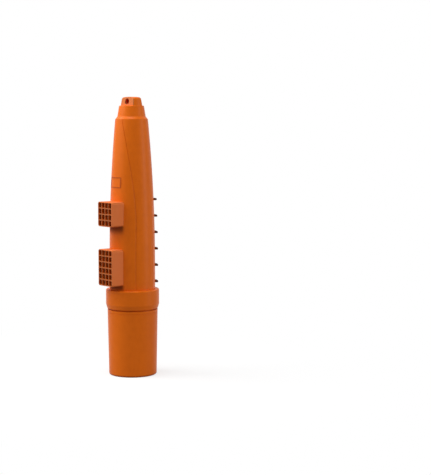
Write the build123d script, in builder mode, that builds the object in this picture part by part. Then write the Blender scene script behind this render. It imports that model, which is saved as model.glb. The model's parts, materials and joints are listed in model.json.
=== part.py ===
from build123d import *
import os
from math import radians, sqrt, tan

# Fishing net locator buoy, standing on its mouth rim. Millimetres, +Z up along the axis.
# The origin is the centre of the rim, the feet face -Y and the rope cleats face +Y.

# Heights along the axis, from the mouth rim up
tube_length = 119.3  # mouth rim to the shoulder under the seam
seam_gap = 2.5  # open groove between tube shoulder and collar
collar_height = 34.2
hull_straight = 54.0  # plain length of hull above the collar
hull_taper_length = 251.6  # curved length of hull, up to its top end
nose_slope_height = 4.6
nose_step_height = 19.3
lug_height = 15.8

# Hull: a hollow moulding that curves in towards the nose
hull_radius = 41.0
hull_wall = 3.0
hull_top_radius = 29.3
neck_wall = 5.0  # thick ring at the hull's top end, round the nose cap's spigot
neck_length = 14.0

# Moulded lines: a shallow groove that frames the feet side and the cleat side
groove_width = 0.8
groove_depth = 0.7
groove_half_width = 36.9  # from the middle plane, over the straight part
groove_top_half_width = 9.8  # at the hull's top end
groove_straight_length = 104.0  # above the collar, before the groove turns in

# Coupling collar: a sleeve over the butt joint of hull and tube
collar_wall = 7.0
collar_taper = 2.0
collar_taper_height = 7.5
collar_rounding = 2.0

# Base tube: drafted outside, with a plain mouth that takes the plug's seat ring
tube_shoulder = 4.3  # step from the neck out to the tube's top edge
tube_draft = 2.2  # radius lost from the top edge to the rim
mouth_wall = 4.4
rim_rounding = 3.2
rim_chamfer = 0.5
neck_tube_wall = 3.0
seat_ledge = 5.0  # how far the seat ring stands in from the bay
seat_thickness = 14.0
lip_height = 5.0  # plain lip above the fine ring line
lip_line = 0.6

# Twist plug in the mouth, with two finger wells either side of a waisted grip bar
plug_recess = 17.0  # rim to plug face
plug_flange = 3.5
plug_rim_clearance = 0.8
plug_seat_gap = 0.3
plug_running_clearance = 0.08
plug_setback = 0.8  # shank's end below the top of the seat ring
plug_edge = 0.8
well_roof = 3.0
well_rim = 4.0
grip_waist = 12.0
well_curve = 30.0  # radius of the grip bar's hollow sides
well_corner = 5.0
well_floor_rounding = 3.0
well_edge_rounding = 1.2
grip_angle = 45.0  # of the grip bar's across direction, seen from above

# Battery pack: one plain block that stands on the seat ring
battery_gap = 2.0
battery_height = 80.0
battery_edge = 2.0

# Nose cap: a drafted cap whose top is cut to a flat-sided lug with a lanyard eye
nose_inset = 0.4
nose_slope_width = 3.5
nose_draft = 5.6  # radius lost from the slope to the edge of the crown
nose_step_rounding = 1.5
spigot_length = 12.0
spigot_clearance = 0.1
lug_inset = 0.6  # from the step's cone in to the lug's rounded ends
lug_thickness = 21.0  # across the flats, at their foot
lug_flat_draft = 7.5  # degrees that each flat leans in
lug_rounding = 5.0
lug_edge = 0.8
crown_rise = 1.6  # height of the dome on the lug
eye_radius = 4.4
eye_height = 7.5  # centre of the lanyard eye above the step
eye_edge = 0.8

# Feet: cored pads on the -Y side, their outer faces in one plane parallel to the axis
foot_reach = 59.5  # axis to the outer faces
cell_columns = 4
cell_width = 8.7
cell_height = 9.0
cell_rib = 1.6  # walls between and around the cells
cell_depth = 15.5
cell_rounding = 1.5
foot_corner = 4.0
foot_edge = 0.6
lower_foot_height = 8.8  # bottom face above the collar
lower_foot_rows = 6
upper_foot_height = 115.0
upper_foot_rows = 4
# name, height of the bottom face above the collar, rows of cells
feet = [
    ("foot_lower", lower_foot_height, lower_foot_rows),
    ("foot_upper", upper_foot_height, upper_foot_rows),
]

# Cleats: short ribs on the +Y side that keep the rope from sliding
cleat_count = 6
cleat_first = 12.5  # centre of the lowest cleat above the collar
cleat_pitch = 29.8
cleat_reach = 5.6  # above the hull's surface
cleat_thickness = 3.5
cleat_half_angle = 35.0
cleat_rounding = 1.1

# Places that follow from the sizes
collar_bottom = tube_length + seam_gap
collar_top = collar_bottom + collar_height
joint_height = collar_bottom + collar_height / 2
taper_start = collar_top + hull_straight
hull_top = taper_start + hull_taper_length
neck_bottom = hull_top - neck_length
hull_bore = hull_radius - hull_wall
neck_bore = hull_top_radius - neck_wall
hull_taper = hull_radius - hull_top_radius
hull_curve = (hull_taper**2 + hull_taper_length**2) / (2 * hull_taper)

collar_radius = hull_radius + collar_wall
tube_top_radius = hull_radius + tube_shoulder
rim_radius = tube_top_radius - tube_draft
mouth_radius = rim_radius - mouth_wall
bay_radius = hull_radius - neck_tube_wall
seat_bore = bay_radius - seat_ledge

flange_radius = mouth_radius - plug_rim_clearance
flange_top = plug_recess + plug_flange
seat_bottom = flange_top + plug_seat_gap
seat_top = seat_bottom + seat_thickness
shank_radius = seat_bore - plug_running_clearance
shank_top = seat_top - plug_setback
well_depth = shank_top - well_roof - plug_recess
well_limit = shank_radius - well_rim
well_centre = grip_waist / 2 + well_curve

slope_top = hull_top + nose_slope_height
step_top = slope_top + nose_step_height
lug_top = step_top + lug_height
nose_radius = hull_top_radius - nose_inset
step_radius = nose_radius - nose_slope_width
crown_edge = lug_top - crown_rise
lug_foot = step_top - nose_step_rounding  # below the step's rounded edge
eye_middle = step_top + eye_height
eye_half_length = lug_thickness / 2 - (eye_middle - lug_foot) * tan(radians(lug_flat_draft))
spigot_radius = neck_bore - spigot_clearance

cell_pitch_across = cell_width + cell_rib
cell_pitch_up = cell_height + cell_rib
foot_width = cell_columns * cell_pitch_across + cell_rib


def hull_radius_at(height):
    """Outside radius of the hull at a height above the rim."""
    above = max(0.0, height - taper_start)
    return hull_radius - hull_curve + sqrt(hull_curve**2 - above**2)


def cap_radius_at(height):
    """Radius of the nose cap's cone at a height above the rim."""
    return step_radius - nose_draft * (height - slope_top) / (crown_edge - slope_top)


def hull_solid(inset):
    """The hull's outside form as a solid, drawn in by an inset."""
    with BuildPart() as solid:
        with BuildSketch(Plane.XZ):
            with BuildLine():
                Line((0, joint_height), (hull_radius - inset, joint_height))
                Line((hull_radius - inset, joint_height), (hull_radius - inset, taper_start))
                TangentArc(
                    (hull_radius - inset, taper_start),
                    (hull_top_radius - inset, hull_top),
                    tangent=(0, 1),
                )
                Line((hull_top_radius - inset, hull_top), (0, hull_top))
                Line((0, hull_top), (0, joint_height))
            make_face()
        revolve(axis=Axis.Z)
    return solid.part


def save(piece, name):
    """Name a finished piece and write it as a node of its own."""
    piece.label = name
    export_step(piece, f"parts/{name}.step")


os.makedirs("parts", exist_ok=True)

# Skin of the hull, as deep as the moulded lines
with BuildPart() as hull_skin:
    add(hull_solid(-groove_depth))
    add(hull_solid(groove_depth), mode=Mode.SUBTRACT)

# Moulded lines: one strip each side of the middle plane, cut through front and back
with BuildPart() as groove_cutter:
    with BuildSketch(Plane.XZ):
        with BuildLine():
            bend = collar_top + groove_straight_length
            inner = groove_half_width - groove_width
            inner_top = groove_top_half_width - groove_width
            Line((inner, joint_height), (groove_half_width, joint_height))
            Line((groove_half_width, joint_height), (groove_half_width, bend))
            TangentArc((groove_half_width, bend), (groove_top_half_width, hull_top), tangent=(0, 1))
            Line((groove_top_half_width, hull_top), (inner_top, hull_top))
            TangentArc((inner, bend), (inner_top, hull_top), tangent=(0, 1))
            Line((inner, bend), (inner, joint_height))
        make_face()
        mirror(about=Plane.YZ)
    extrude(amount=collar_radius, both=True)
    add(hull_skin.part, mode=Mode.INTERSECT)

# Upper shell: the hollow hull with its thick neck
with BuildPart() as upper_shell:
    with BuildSketch(Plane.XZ):
        with BuildLine():
            inner_neck = hull_radius_at(neck_bottom) - hull_wall
            Line((hull_bore, joint_height), (hull_radius, joint_height))
            Line((hull_radius, joint_height), (hull_radius, taper_start))
            TangentArc((hull_radius, taper_start), (hull_top_radius, hull_top), tangent=(0, 1))
            Line((hull_top_radius, hull_top), (neck_bore, hull_top))
            Line((neck_bore, hull_top), (neck_bore, neck_bottom))
            Line((neck_bore, neck_bottom), (inner_neck, neck_bottom))
            TangentArc((hull_bore, taper_start), (inner_neck, neck_bottom), tangent=(0, 1))
            Line((hull_bore, taper_start), (hull_bore, joint_height))
        make_face()
    revolve(axis=Axis.Z)
    add(groove_cutter.part, mode=Mode.SUBTRACT)
save(upper_shell.part, "upper_shell")

# Coupling collar, bevelled towards the seam and rounded at its top edge
with BuildPart() as coupling_collar:
    with BuildSketch(Plane.XZ):
        with BuildLine():
            Polyline(
                (hull_radius, collar_bottom),
                (collar_radius - collar_taper, collar_bottom),
                (collar_radius, collar_bottom + collar_taper_height),
                (collar_radius, collar_top),
                (hull_radius, collar_top),
                close=True,
            )
        make_face()
    revolve(axis=Axis.Z)
    top_rims = coupling_collar.edges().filter_by(GeomType.CIRCLE).group_by(Axis.Z)[-1]
    fillet(top_rims.sort_by(SortBy.RADIUS)[-1], radius=collar_rounding)
save(coupling_collar.part, "coupling_collar")

# Base tube: drafted tube with its neck inside the collar and its mouth open
with BuildPart() as base_tube:
    with BuildSketch(Plane.XZ):
        with BuildLine():
            Polyline(
                (mouth_radius, 0),
                (rim_radius, 0),
                (tube_top_radius, tube_length),
                (hull_radius, tube_length),
                (hull_radius, joint_height),
                (bay_radius, joint_height),
                (bay_radius, seat_top),
                (mouth_radius, seat_top),
                close=True,
            )
        make_face()
        with Locations((tube_top_radius, tube_length - lip_height)):
            Rectangle(2 * lip_line, lip_line, mode=Mode.SUBTRACT)
    revolve(axis=Axis.Z)
    mouth_rims = base_tube.edges().filter_by(GeomType.CIRCLE).group_by(Axis.Z)[0]
    fillet(mouth_rims.sort_by(SortBy.RADIUS)[-1], radius=rim_rounding)
    mouth_rims = base_tube.edges().filter_by(GeomType.CIRCLE).group_by(Axis.Z)[0]
    chamfer(mouth_rims.sort_by(SortBy.RADIUS)[0], length=rim_chamfer)
save(base_tube.part, "base_tube")

# Plug seat: a ring set in the mouth against the step to the bay
with BuildPart() as plug_seat:
    with BuildSketch(Plane.XY.offset(seat_bottom)):
        Circle(mouth_radius)
        Circle(seat_bore, mode=Mode.SUBTRACT)
    extrude(amount=seat_thickness)
save(plug_seat.part, "plug_seat")

# Battery plug: flange below the seat ring, shank through it, finger wells in its face
with BuildPart() as battery_plug:
    with BuildSketch(Plane.XZ):
        with BuildLine():
            Polyline(
                (0, plug_recess),
                (flange_radius, plug_recess),
                (flange_radius, flange_top),
                (shank_radius, flange_top),
                (shank_radius, shank_top),
                (0, shank_top),
                close=True,
            )
        make_face()
    revolve(axis=Axis.Z)
    face_rim = battery_plug.edges().filter_by(GeomType.CIRCLE).group_by(Axis.Z)[0]
    fillet(face_rim, radius=plug_edge)
    with BuildSketch(Plane.XY.offset(plug_recess).rotated((0, 0, grip_angle))) as wells:
        with Locations((well_centre, 0), (-well_centre, 0)):
            Circle(well_curve)
        Circle(well_limit, mode=Mode.INTERSECT)
        fillet(wells.vertices(), radius=well_corner)
    extrude(amount=well_depth, mode=Mode.SUBTRACT)
    well_floors = battery_plug.faces().filter_by(Axis.Z).group_by(Axis.Z)[-2]
    fillet(well_floors.edges(), radius=well_floor_rounding)
    well_mouths = battery_plug.faces().filter_by(Axis.Z).sort_by(Axis.Z)[0].inner_wires()
    fillet(well_mouths.edges(), radius=well_edge_rounding)
save(battery_plug.part, "battery_plug")

# Battery pack, standing on the seat ring in the bay
with BuildPart() as battery_pack:
    with BuildSketch(Plane.XY.offset(seat_top)):
        Circle(bay_radius - battery_gap)
    extrude(amount=battery_height)
    chamfer(battery_pack.edges().filter_by(GeomType.CIRCLE), length=battery_edge)
save(battery_pack.part, "battery_pack")

# Lug: the top of the cap's cone, domed and cut to two flat sides
with BuildPart() as lug:
    with BuildSketch(Plane.XZ) as lug_profile:
        with BuildLine():
            lug_radius = cap_radius_at(lug_foot) - lug_inset
            crown_radius = cap_radius_at(crown_edge) - lug_inset
            Line((0, lug_foot), (lug_radius, lug_foot))
            Line((lug_radius, lug_foot), (crown_radius, crown_edge))
            TangentArc((0, lug_top), (crown_radius, crown_edge), tangent=(1, 0))
            Line((0, lug_top), (0, lug_foot))
        make_face()
        fillet(lug_profile.vertices().sort_by(Axis.X)[-2], radius=lug_rounding)
    revolve(axis=Axis.Z)
    with BuildSketch(Plane.XY.offset(lug_foot)):
        Rectangle(4 * step_radius, lug_thickness)
    extrude(amount=lug_top - lug_foot, taper=lug_flat_draft, mode=Mode.INTERSECT)
    flat_rims = lug.faces().filter_by(GeomType.PLANE).edges() - lug.edges().group_by(Axis.Z)[0]
    fillet(flat_rims, radius=lug_edge)

# Nose cap: spigot, sloped flange and drafted step, with the lug and its eye
with BuildPart() as nose_cap:
    with BuildSketch(Plane.XZ):
        with BuildLine():
            Polyline(
                (0, hull_top - spigot_length),
                (spigot_radius, hull_top - spigot_length),
                (spigot_radius, hull_top),
                (nose_radius, hull_top),
                (step_radius, slope_top),
                (cap_radius_at(step_top), step_top),
                (0, step_top),
                close=True,
            )
        make_face()
    revolve(axis=Axis.Z)
    step_rim = nose_cap.edges().filter_by(GeomType.CIRCLE).group_by(Axis.Z)[-1]
    fillet(step_rim, radius=nose_step_rounding)
    add(lug.part)
    with BuildSketch(Plane.YZ):
        with BuildLine():
            Polyline(
                (-eye_half_length - eye_edge, eye_middle),
                (-eye_half_length - eye_edge, eye_middle + eye_radius + 2 * eye_edge),
                (-eye_half_length + eye_edge, eye_middle + eye_radius),
                (eye_half_length - eye_edge, eye_middle + eye_radius),
                (eye_half_length + eye_edge, eye_middle + eye_radius + 2 * eye_edge),
                (eye_half_length + eye_edge, eye_middle),
                close=True,
            )
        make_face()
    revolve(axis=Axis((0, 0, eye_middle), (0, 1, 0)), mode=Mode.SUBTRACT)
save(nose_cap.part, "nose_cap")

# Feet: rounded pads seated on the hull, cored with a grid of open cells
for foot_name, above_collar, cell_rows in feet:
    foot_tall = cell_rows * cell_pitch_up + cell_rib
    foot_middle = (0, collar_top + above_collar + foot_tall / 2)
    with BuildPart() as foot:
        with BuildSketch(Plane.XZ.offset(foot_reach)):
            with Locations(foot_middle):
                RectangleRounded(foot_width, foot_tall, foot_corner)
        extrude(amount=-foot_reach)
        fillet(foot.faces().sort_by(Axis.Y)[0].edges(), radius=foot_edge)
        add(hull_solid(0), mode=Mode.SUBTRACT)
        with BuildSketch(Plane.XZ.offset(foot_reach)):
            with Locations(foot_middle):
                with GridLocations(cell_pitch_across, cell_pitch_up, cell_columns, cell_rows):
                    RectangleRounded(cell_width, cell_height, cell_rounding)
        extrude(amount=-cell_depth, mode=Mode.SUBTRACT)
    save(foot.part, foot_name)

# Cleats: arcs seated on the hull, square to the axis
for number in range(cleat_count):
    cleat_middle = collar_top + cleat_first + number * cleat_pitch
    cleat_radius = hull_radius_at(cleat_middle) + cleat_reach
    with BuildPart() as cleat:
        with BuildSketch(Plane.XY.offset(cleat_middle - cleat_thickness / 2)):
            Circle(cleat_radius)
            with BuildLine():
                side = PolarLine((0, 0), 2 * cleat_radius, 90 - cleat_half_angle)
                other_side = PolarLine((0, 0), 2 * cleat_radius, 90 + cleat_half_angle)
                Line(side @ 1, other_side @ 1)
            make_face(mode=Mode.INTERSECT)
        extrude(amount=cleat_thickness)
        outer_face = cleat.faces().filter_by(GeomType.CYLINDER)
        fillet(outer_face.edges(), radius=cleat_rounding)
        add(hull_solid(0), mode=Mode.SUBTRACT)
    save(cleat.part, f"cleat_{number + 1}")
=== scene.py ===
import json
from collections import namedtuple
from math import cos, radians, sin

import bpy
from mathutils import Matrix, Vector


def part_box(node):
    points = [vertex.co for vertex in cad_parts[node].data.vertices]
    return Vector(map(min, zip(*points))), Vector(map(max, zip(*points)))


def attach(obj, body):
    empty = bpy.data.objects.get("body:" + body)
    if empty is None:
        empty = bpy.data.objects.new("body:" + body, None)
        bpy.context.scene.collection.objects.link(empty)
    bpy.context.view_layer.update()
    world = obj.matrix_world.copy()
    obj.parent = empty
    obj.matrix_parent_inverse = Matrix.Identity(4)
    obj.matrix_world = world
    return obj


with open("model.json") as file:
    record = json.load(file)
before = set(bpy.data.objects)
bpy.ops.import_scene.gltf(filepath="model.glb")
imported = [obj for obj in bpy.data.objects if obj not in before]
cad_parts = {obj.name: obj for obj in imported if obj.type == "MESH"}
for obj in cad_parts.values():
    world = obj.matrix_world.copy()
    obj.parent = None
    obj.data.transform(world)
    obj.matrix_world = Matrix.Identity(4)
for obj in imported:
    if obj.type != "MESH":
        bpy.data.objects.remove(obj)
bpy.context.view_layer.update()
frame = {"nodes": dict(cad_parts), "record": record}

Pattern = namedtuple("Pattern", "scale detail z_scale")
Lamp = namedtuple("Lamp", "name turn height away size power aim")

# Lengths are in metres, angles in degrees and colours are linear.
MM_PER_METRE = 1000

# The photograph's camera, measured from the buoy's axis on the floor. Azimuths are
# seen from the buoy: 0 is out through the feet, 90 is along +X.
PHOTO_SIZE = (431, 475)
CAMERA_AZIMUTH = 54.5
CAMERA_AWAY = 2.42
CAMERA_HEIGHT = 0.4726
CAMERA_PITCH = 5.3  # downwards
CAMERA_PAN = 3.56  # past the axis, so that the buoy stands left of the picture's middle
FOCAL_PIXELS = 1344
SENSOR_MM = 36.0  # along the picture's longer side

# Colours; a deep one is for the darker flow marks
ORANGE = (0.80, 0.155, 0.003)
ORANGE_DEEP = (0.72, 0.135, 0.002)
# Painted shade: a dark brown for the shade in the feet's cells, round the eye's mouths, under
# the feet, at the cleats' ends and low on the rim
PAINTED_SHADE_BROWN = (0.070, 0.014, 0.006)
# Painted shade: the eye's bore darker and redder than the orange
EYE_SHADE_RED = (0.55, 0.035, 0.002)
# Painted shade on the feet's outer faces
FACE_SHADE = (0.40, 0.125, 0.045)
# Scuffing on the feet's outsides, paler as a painted sheen
SCUFFED_SHEEN = (0.78, 0.205, 0.062)
# A paler, greyer tone on the lug's flats
LUG_PALE = (0.54, 0.180, 0.064)
# Painted shade: the cleats are a darkened copy of the orange
CLEAT_SHADE_BROWN = (0.36, 0.074, 0.008)
CLEAT_SHADE_BROWN_DEEP = (0.27, 0.056, 0.008)
PLUG_RED = (0.56, 0.105, 0.035)
PLUG_RED_DEEP = (0.46, 0.078, 0.024)
WRAP_BLUE = (0.02, 0.05, 0.16)
WRAP_BLUE_DEEP = (0.012, 0.03, 0.10)
# Painted shade: the label frame's lines darker than the orange
ORANGE_LINE_SHADE = (0.50, 0.085, 0.006)
FLOOR_PALE = (0.35, 0.35, 0.35)  # as it lights the buoy; the camera sees it white
WHITE = (1.0, 1.0, 1.0)

# Roughness
MOULDING_ROUGHNESS = 0.38
FOOT_ROUGHNESS = 0.32
TUBE_ROUGHNESS = 0.40
CLEAT_ROUGHNESS = 0.50
PLUG_ROUGHNESS = 0.45
WRAP_ROUGHNESS = 0.30
LABEL_ROUGHNESS = 0.45
FLOOR_ROUGHNESS = 0.90

# Patterns of noise: scale, detail, and the scale along Z, where less than 1 draws the
# pattern out along the buoy
FLOW = Pattern(16.0, 3.0, 0.3)
MOTTLE = Pattern(90.0, 2.0, 1.0)
SCUFF = Pattern(260.0, 3.0, 0.05)
GRAIN = Pattern(1500.0, 2.0, 1.0)
FACE_PATCHES = Pattern(120.0, 3.0, 1.0)
SIDE_PATCHES = Pattern(90.0, 3.0, 0.3)
RIM_PATCHES = Pattern(150.0, 3.0, 1.0)
NOISE_MIDDLE = 0.5

# How the patterns show in moulded plastic
SCUFF_RANGE = (0.62, 0.74)  # of the noise, from no scuff to a full one
TONE_RANGE = (0.3, 0.7)  # of the noise, from the deep colour to the plain one
FLOW_SHARE = 0.7  # of the tone; the rest is mottling
FLOW_MATTE = 0.10  # how far each one moves the roughness
SCUFF_MATTE = 0.06
MARK_MATTE = 0.45
MOTTLE_HEIGHT = 0.5  # in the bump, beside the grain's 1
SCUFF_DEPTH = 0.3
BUMP_STRENGTH = 0.12
BUMP_DISTANCE = 0.0002
SPECULAR_LEVEL = 0.13

# Stains and painted shade. A weight is the most that a mark covers; a pair is what it covers
# everywhere and what its patches add. A range is where its mask starts and ends.
FOOT_SKIN = 0.0012  # outermost layer of a foot's walls
SIDE_WEIGHT = (0.55, 0.50)
FACE_WEIGHT = (0.6, 0.6)
FACE_RANGE = (0.0002, 0.0008)  # inwards from a foot's outer face
CELL_WEIGHT = 0.78
CELL_RANGE = (0.0004, 0.0070)  # inwards from a foot's outer face

LUG_WEIGHT = 0.7
LUG_LEAN = 0.13  # how far the lug's flats come in for each metre up
LUG_SKIN = (0.0006, 0.0001)  # inwards from the flats, at the eye's height
LUG_RANGE = (-0.0072, -0.0060)  # upwards from the eye's middle

MOUTH_WEIGHT = 0.8
MOUTH_SHIFT = 0.0007  # shifted towards -X
MOUTH_SQUEEZE = 0.85  # and wider across than up
MOUTH_RANGE = (0.0006, 0.0013)  # outwards from the bore
BORE_WEIGHT = 0.95
BORE_RANGE = (0.0001, 0.0003)  # outwards from the bore

# Painted shadow under the feet
CORNER_WEIGHT = 0.72
CORNER_START = (-0.0010, 0.0)  # downwards from a foot's underside
CORNER_FADE = 0.003  # where the painted shadow starts to fade, downwards
CORNER_REACH = {"foot_lower": 0.0115, "foot_upper": 0.0180}  # where it has faded out
CORNER_BLUR = 0.0035  # each way from a foot's sides
CORNER_TURN = 0.010  # it comes in over this far, from the axis towards the feet

CLEAT_WEIGHT = 0.75
CLEAT_RANGE = (0.2, 0.8)  # of a cleat's half width

RIM_WEIGHT = (0.25, 0.45)
RIM_RANGE = (0.0012, 0.0045)  # upwards from the floor

# Plain frame for a label, on the feet side of the hull
LABEL_MIDDLE = 0.349
LABEL_WIDE = 0.030
LABEL_TALL = 0.0195
LABEL_LINE = 0.0020
LABEL_CORNER = 0.002
LABEL_CORNER_STEPS = 4
LABEL_CUTS = 7
LABEL_START = 0.0195  # in front of the hull, before it is wrapped on
LABEL_PROUD = 0.00045
LABEL_SUNK = 0.0003
LABEL_EDGE = 0.00015
LABEL_EDGE_STEPS = 2
LABEL_SMOOTH = 40

# Light
SKY_LEVEL = 0.4  # on the object; the camera and reflections see plain white
FLOOR_SIZE = 40.0
FLOOR_SHADOW_SHARE = 0.30  # how much of the floor's own shading shows at the axis
FLOOR_SHADOW_REACH = 0.55  # where none of it shows

# Soft lamps: name, turn from the camera's azimuth, height, distance from the axis, size,
# power in watts, and the height on the axis that it looks at
LAMPS = (
    Lamp("key", -95, 1.15, 0.90, (0.80, 0.80), 10.8, 0.40),
    Lamp("gloss", -72, 0.58, 0.95, (0.85, 0.35), 1.25, 0.45),
    Lamp("top", -20, 2.20, 0.50, (1.00, 1.00), 17.6, 0.20),
    Lamp("side", 75, 0.50, 1.30, (0.26, 0.90), 4.2, 0.45),
)


class Value:
    """A socket that takes part in Python arithmetic: each operator adds a Math node."""

    def __init__(self, nodes, socket):
        self.nodes = nodes
        self.socket = socket

    def __add__(self, other):
        return self.nodes.maths("ADD", self, other)

    def __radd__(self, other):
        return self.nodes.maths("ADD", other, self)

    def __sub__(self, other):
        return self.nodes.maths("SUBTRACT", self, other)

    def __rsub__(self, other):
        return self.nodes.maths("SUBTRACT", other, self)

    def __mul__(self, other):
        return self.nodes.maths("MULTIPLY", self, other)

    def __rmul__(self, other):
        return self.nodes.maths("MULTIPLY", other, self)

    def __pow__(self, other):
        return self.nodes.maths("POWER", self, other)

    def __abs__(self):
        return self.nodes.maths("ABSOLUTE", self, 0.0)


class Nodes:
    """A node tree: the one way to add a node, and short names for the usual ones."""

    def __init__(self, tree):
        self.tree = tree

    def node(self, kind, settings, sockets, output=0):
        """Adds a node, sets its settings, then feeds its sockets by name or number."""
        new = self.tree.nodes.new(kind)
        for key, setting in settings.items():
            setattr(new, key, setting)
        for key, given in sockets.items():
            self.feed(new.inputs[key], given)
        return Value(self, new.outputs[output])

    def feed(self, socket, given):
        """Links a value to a socket, or sets the socket to a number, vector or colour."""
        if isinstance(given, Value):
            self.tree.links.new(given.socket, socket)
        elif socket.type == "RGBA" and len(given) == 3:
            socket.default_value = (*given, 1.0)
        else:
            socket.default_value = given

    def maths(self, operation, first, second):
        return self.node("ShaderNodeMath", {"operation": operation}, {0: first, 1: second})

    def place(self):
        return self.node("ShaderNodeTexCoord", {}, {}, "Object")

    def part(self, vector, axis):
        return self.node("ShaderNodeSeparateXYZ", {}, {0: vector}, axis)

    def noise(self, place, pattern):
        """Noise from 0 to 1 in the given pattern."""
        scale = (1.0, 1.0, pattern.z_scale)
        drawn_out = self.node("ShaderNodeMapping", {}, {"Vector": place, "Scale": scale})
        sockets = {"Vector": drawn_out, "Scale": pattern.scale, "Detail": pattern.detail}
        return self.node("ShaderNodeTexNoise", {}, sockets)

    def patches(self, place, pattern, weight):
        """A mark's weight: some of it everywhere, and more where the noise is high."""
        everywhere, more = weight
        return everywhere + more * self.noise(place, pattern)

    def rise(self, value, low, high):
        """0 up to low, 1 from high on and a smooth ramp between."""
        settings = {"interpolation_type": "SMOOTHSTEP"}
        sockets = {"Value": value, "From Min": low, "From Max": high}
        return self.node("ShaderNodeMapRange", settings, sockets)

    def blend(self, factor, first, second):
        """Between two colours: a Mix node's colour sockets are 6 and 7, its colour output 2."""
        sockets = {0: factor, 6: first, 7: second}
        return self.node("ShaderNodeMix", {"data_type": "RGBA"}, sockets, 2)


def new_material(name):
    """A material, its node tree and its main shader."""
    material = bpy.data.materials.new(name)
    material.use_nodes = True
    nodes = Nodes(material.node_tree)
    return material, nodes, material.node_tree.nodes["Principled BSDF"]


def moulded_plastic(name, colour, deep, roughness, stains_and_shade=()):
    """Satin moulded plastic with flow marks, mottling, fine grain and faint scuffs. Each of the
    stains and painted shades is a mask and its colour, and makes the plastic more matte."""
    material, nodes, shader = new_material(name)
    place = nodes.place()
    flow = nodes.noise(place, FLOW)
    mottle = nodes.noise(place, MOTTLE)
    scuff = nodes.rise(nodes.noise(place, SCUFF), *SCUFF_RANGE)
    grain = nodes.noise(place, GRAIN)
    tone = nodes.rise(FLOW_SHARE * flow + (1 - FLOW_SHARE) * mottle, *TONE_RANGE)
    tint = nodes.blend(tone, deep, colour)
    matte = roughness + FLOW_MATTE * (flow - NOISE_MIDDLE) + SCUFF_MATTE * scuff
    for mask, mark_colour in stains_and_shade:
        share = mask(nodes, place)
        tint = nodes.blend(share, tint, mark_colour)
        matte = matte + MARK_MATTE * share
    height = grain + MOTTLE_HEIGHT * mottle - SCUFF_DEPTH * scuff
    sockets = {"Strength": BUMP_STRENGTH, "Distance": BUMP_DISTANCE, "Height": height}
    bump = nodes.node("ShaderNodeBump", {}, sockets)
    nodes.feed(shader.inputs["Base Color"], tint)
    nodes.feed(shader.inputs["Roughness"], matte)
    nodes.feed(shader.inputs["Normal"], bump)
    shader.inputs["Specular IOR Level"].default_value = SPECULAR_LEVEL
    return material


def orange_moulding(name, roughness, stains_and_shade):
    """The buoy's own orange plastic."""
    return moulded_plastic(name, ORANGE, ORANGE_DEEP, roughness, stains_and_shade)


def foot_scuffs_and_painted_shade(foot):
    """A foot's outsides, scuffed and paler as a painted sheen; painted shade on its outer face;
    and painted shade that deepens towards the bottom of its open cells."""
    low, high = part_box(foot)
    middle = (low.z + high.z) / 2
    half_wide = (high.x - low.x) / 2
    half_tall = (high.z - low.z) / 2

    def inside(nodes, away, half):
        """1 in the middle of the pad, 0 in the skin of the walls at half its size."""
        return 1 - nodes.rise(away, half - FOOT_SKIN, half - FOOT_SKIN / 2)

    def within_skin(nodes, place):
        """1 inside the pad's outer walls, 0 on their outsides."""
        across = abs(nodes.part(place, "X"))
        up = abs(nodes.part(place, "Z") - middle)
        return inside(nodes, across, half_wide) * inside(nodes, up, half_tall)

    def inwards(nodes, place, start, end):
        """0 on the outer face, 1 further in."""
        return nodes.rise(nodes.part(place, "Y"), low.y + start, low.y + end)

    # Scuffing on the pad's outer walls, paler as a painted sheen
    def outsides(nodes, place):
        weight = nodes.patches(place, SIDE_PATCHES, SIDE_WEIGHT)
        return weight * (1 - within_skin(nodes, place))

    # Painted shade on the outer face, in patches
    def outer_face(nodes, place):
        weight = nodes.patches(place, FACE_PATCHES, FACE_WEIGHT)
        on_face = 1 - inwards(nodes, place, *FACE_RANGE)
        return weight * on_face * within_skin(nodes, place)

    # Painted shade, deeper towards the bottom of the cells
    def cells(nodes, place):
        deep = inwards(nodes, place, *CELL_RANGE)
        return CELL_WEIGHT * within_skin(nodes, place) * deep

    return (outsides, SCUFFED_SHEEN), (outer_face, FACE_SHADE), (cells, PAINTED_SHADE_BROWN)


def nose_tone_and_painted_shade():
    """Paler, greyer lug flats; painted shade round the lanyard eye's mouths; bore painted dark
    red as shade.
    """
    eye = next(mount for mount in frame["record"]["mounts"] if mount["name"] == "lanyard_eye")
    radius = eye["dims"]["r_mm"] / MM_PER_METRE
    half_long = eye["dims"]["length_mm"] / MM_PER_METRE / 2

    def above_eye(nodes, place):
        return nodes.part(place, "Z") - eye["pos_m"][2]

    def near_eye(nodes, place, ring, shift=0.0, squeeze=1.0):
        """1 in the eye, 0 from a ring round it on."""
        start, end = ring
        across = squeeze * (nodes.part(place, "X") + shift)
        away = (across**2 + above_eye(nodes, place) ** 2) ** 0.5
        return 1 - nodes.rise(away, radius + start, radius + end)

    def flats(nodes, place):
        start, end = LUG_SKIN
        up = above_eye(nodes, place)
        out = abs(nodes.part(place, "Y")) + LUG_LEAN * up
        on_flat = nodes.rise(out, half_long - start, half_long - end)
        return LUG_WEIGHT * on_flat * nodes.rise(up, *LUG_RANGE)

    # Painted shade round the eye's mouths
    def mouths(nodes, place):
        return MOUTH_WEIGHT * near_eye(nodes, place, MOUTH_RANGE, MOUTH_SHIFT, MOUTH_SQUEEZE)

    # Painted shade: the bore dark red
    def bore(nodes, place):
        return BORE_WEIGHT * near_eye(nodes, place, BORE_RANGE)

    return (flats, LUG_PALE), (mouths, PAINTED_SHADE_BROWN), (bore, EYE_SHADE_RED)


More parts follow.
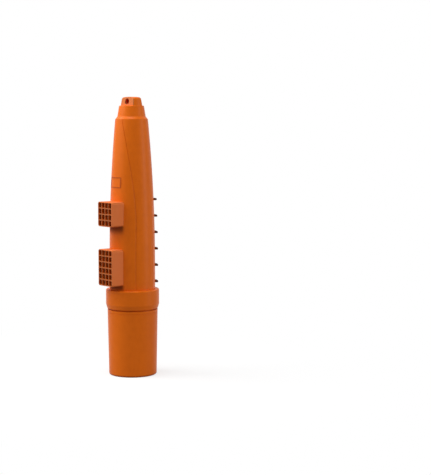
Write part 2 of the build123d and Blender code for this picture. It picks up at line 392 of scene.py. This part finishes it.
def under_foot_painted_shadow(foot):
    """Painted shadow on the hull in the corner under a foot, fading downwards."""
    low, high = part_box(foot)

    def corner(nodes, place):
        below = low.z - nodes.part(place, "Z")
        fade = nodes.rise(below, CORNER_FADE, CORNER_REACH[foot])
        under = nodes.rise(below, *CORNER_START) * (1 - fade)
        sideways = abs(nodes.part(place, "X"))
        across = 1 - nodes.rise(sideways, high.x - CORNER_BLUR, high.x + CORNER_BLUR)
        feet_side = 1 - nodes.rise(nodes.part(place, "Y"), -CORNER_TURN, 0.0)
        return CORNER_WEIGHT * under * across * feet_side

    return corner, PAINTED_SHADE_BROWN


def cleat_end_painted_shade(cleat):
    """Painted shade that deepens towards both ends of a cleat."""
    half_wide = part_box(cleat)[1].x
    start, end = CLEAT_RANGE

    def ends(nodes, place):
        sideways = abs(nodes.part(place, "X"))
        return CLEAT_WEIGHT * nodes.rise(sideways, start * half_wide, end * half_wide)

    return [(ends, PAINTED_SHADE_BROWN)]


def rim_painted_shade():
    """Painted shade, in patches, low on the rim that the buoy stands on."""

    def low_down(nodes, place):
        weight = nodes.patches(place, RIM_PATCHES, RIM_WEIGHT)
        return weight * (1 - nodes.rise(nodes.part(place, "Z"), *RIM_RANGE))

    return [(low_down, PAINTED_SHADE_BROWN)]


def dress(names, material):
    """Gives CAD nodes their finish."""
    for name in names:
        for slot in frame["nodes"][name].material_slots:
            slot.material = material


def apply_modifier(piece, kind, **settings):
    """Adds a modifier to the active piece, sets it and applies it."""
    modifier = piece.modifiers.new(kind.lower(), kind)
    for key, setting in settings.items():
        setattr(modifier, key, setting)
    bpy.ops.object.modifier_apply(modifier=modifier.name)


def add_label_frame(material):
    """A plain raised frame, wrapped round the hull above the upper foot."""
    hull = frame["nodes"]["upper_shell"]
    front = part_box("upper_shell")[0].y - LABEL_START
    bpy.ops.object.select_all(action="DESELECT")
    bpy.ops.mesh.primitive_plane_add(
        size=1.0,
        location=(0.0, front, LABEL_MIDDLE),
        rotation=(radians(90), 0.0, 0.0),
    )
    piece = bpy.context.object
    piece.name = "label_frame"
    piece.scale = (LABEL_WIDE, LABEL_TALL, 1.0)
    bpy.ops.object.transform_apply(location=True, rotation=True, scale=True)
    bpy.ops.object.mode_set(mode="EDIT")
    bpy.ops.mesh.bevel(offset=LABEL_CORNER, segments=LABEL_CORNER_STEPS, affect="VERTICES")
    bpy.ops.mesh.inset(thickness=LABEL_LINE)
    bpy.ops.mesh.delete(type="FACE")
    bpy.ops.mesh.select_all(action="SELECT")
    bpy.ops.mesh.subdivide(number_cuts=LABEL_CUTS)
    bpy.ops.object.mode_set(mode="OBJECT")
    apply_modifier(
        piece,
        "SHRINKWRAP",
        target=hull,
        wrap_method="PROJECT",
        use_project_y=True,
        use_positive_direction=True,
        use_negative_direction=False,
    )
    thickness = LABEL_PROUD + LABEL_SUNK
    offset = (LABEL_PROUD - LABEL_SUNK) / thickness
    apply_modifier(piece, "SOLIDIFY", thickness=thickness, offset=offset)
    apply_modifier(
        piece, "BEVEL", width=LABEL_EDGE, segments=LABEL_EDGE_STEPS, limit_method="ANGLE"
    )
    bpy.ops.object.shade_smooth_by_angle(angle=radians(LABEL_SMOOTH))
    piece.data.materials.append(material)
    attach(piece, "buoy")


def seen_rays(nodes):
    """1 for what the camera, a reflection or clear glass shows, 0 for light on the object."""
    kinds = ("Is Camera Ray", "Is Glossy Ray", "Is Transmission Ray")
    camera, glossy, clear = (nodes.node("ShaderNodeLightPath", {}, {}, kind) for kind in kinds)
    return nodes.maths("MINIMUM", camera + glossy + clear, 1.0)


def add_floor():
    """A pale floor that the camera sees as white, darkened only where the buoy shades it."""
    bpy.ops.mesh.primitive_plane_add(size=FLOOR_SIZE, location=(0.0, 0.0, 0.0))
    floor = bpy.context.object
    floor.name = "floor"
    material, nodes, shader = new_material("pale_floor")
    seen = seen_rays(nodes)
    nodes.feed(shader.inputs["Base Color"], nodes.blend(seen, FLOOR_PALE, WHITE))
    shader.inputs["Roughness"].default_value = FLOOR_ROUGHNESS
    shader.inputs["Specular IOR Level"].default_value = 0.0
    length = {"operation": "LENGTH"}
    away = nodes.node("ShaderNodeVectorMath", length, {0: nodes.place()}, "Value")
    fade = nodes.rise(away, 0.0, FLOOR_SHADOW_REACH)
    white_share = seen * (1 - FLOOR_SHADOW_SHARE * (1 - fade))
    glow = nodes.node("ShaderNodeEmission", {}, {"Color": WHITE, "Strength": 1.0})
    surface = Value(nodes, shader.outputs["BSDF"])
    mixed = nodes.node("ShaderNodeMixShader", {}, {0: white_share, 1: surface, 2: glow})
    nodes.feed(nodes.tree.nodes["Material Output"].inputs["Surface"], mixed)
    floor.data.materials.append(material)


def round_buoy(azimuth, away, height):
    """A place beside the buoy, by azimuth, distance from its axis and height."""
    turn = radians(azimuth)
    return Vector((away * sin(turn), -away * cos(turn), height))


def add_softbox(lamp):
    """A soft area lamp that stands beside the buoy and looks at its axis."""
    spot = round_buoy(CAMERA_AZIMUTH + lamp.turn, lamp.away, lamp.height)
    bpy.ops.object.light_add(type="AREA", location=spot)
    softbox = bpy.context.object
    softbox.name = lamp.name
    softbox.data.shape = "RECTANGLE"
    softbox.data.size, softbox.data.size_y = lamp.size
    softbox.data.energy = lamp.power
    look = Vector((0.0, 0.0, lamp.aim)) - spot
    softbox.rotation_euler = look.to_track_quat("-Z", "Y").to_euler()


def add_sky():
    """Soft light from all round, seen as plain white."""
    world = bpy.data.worlds.new("studio")
    bpy.context.scene.world = world
    world.use_nodes = True
    nodes = Nodes(world.node_tree)
    background = world.node_tree.nodes["Background"]
    nodes.feed(background.inputs["Color"], WHITE)
    strength = SKY_LEVEL + (1 - SKY_LEVEL) * seen_rays(nodes)
    nodes.feed(background.inputs["Strength"], strength)


def add_camera():
    """The photograph's camera, level from side to side."""
    spot = round_buoy(CAMERA_AZIMUTH, CAMERA_AWAY, CAMERA_HEIGHT)
    bpy.ops.object.camera_add(location=spot)
    camera = bpy.context.object
    turn = CAMERA_AZIMUTH - CAMERA_PAN
    camera.rotation_euler = (radians(90 - CAMERA_PITCH), 0.0, radians(turn))
    camera.data.sensor_width = SENSOR_MM
    camera.data.lens = SENSOR_MM * FOCAL_PIXELS / max(PHOTO_SIZE)
    bpy.context.scene.camera = camera


bpy.ops.object.select_all(action="DESELECT")
bpy.context.scene.view_settings.view_transform = "Standard"

feet = ("foot_lower", "foot_upper")
cleats = [name for name in frame["nodes"] if name.startswith("cleat")]

# The hull's finish goes on every node first, then the others on theirs.
painted_shadows_under_feet = [under_foot_painted_shadow(foot) for foot in feet]
dress(frame["nodes"], orange_moulding("orange_moulding", MOULDING_ROUGHNESS, painted_shadows_under_feet))
for foot in feet:
    dress([foot], orange_moulding(f"orange_{foot}", FOOT_ROUGHNESS, foot_scuffs_and_painted_shade(foot)))
dress(["nose_cap"], orange_moulding("orange_nose", MOULDING_ROUGHNESS, nose_tone_and_painted_shade()))
dress(["base_tube"], orange_moulding("orange_base", TUBE_ROUGHNESS, rim_painted_shade()))
# Cleats in painted shade, darker still towards their ends
shaded_cleat_plastic = moulded_plastic(
    "cleats_painted_shade", CLEAT_SHADE_BROWN, CLEAT_SHADE_BROWN_DEEP, CLEAT_ROUGHNESS, cleat_end_painted_shade(cleats[0])
)
dress(cleats, shaded_cleat_plastic)
red_plug = moulded_plastic("red_plug_moulding", PLUG_RED, PLUG_RED_DEEP, PLUG_ROUGHNESS)
dress(["battery_plug"], red_plug)
blue_wrap = moulded_plastic("battery_wrap_film", WRAP_BLUE, WRAP_BLUE_DEEP, WRAP_ROUGHNESS)
dress(["battery_pack"], blue_wrap)

label_lines = moulded_plastic("orange_label_lines", ORANGE_LINE_SHADE, ORANGE_LINE_SHADE, LABEL_ROUGHNESS)
add_label_frame(label_lines)

add_floor()
for lamp in LAMPS:
    add_softbox(lamp)
add_sky()
add_camera()
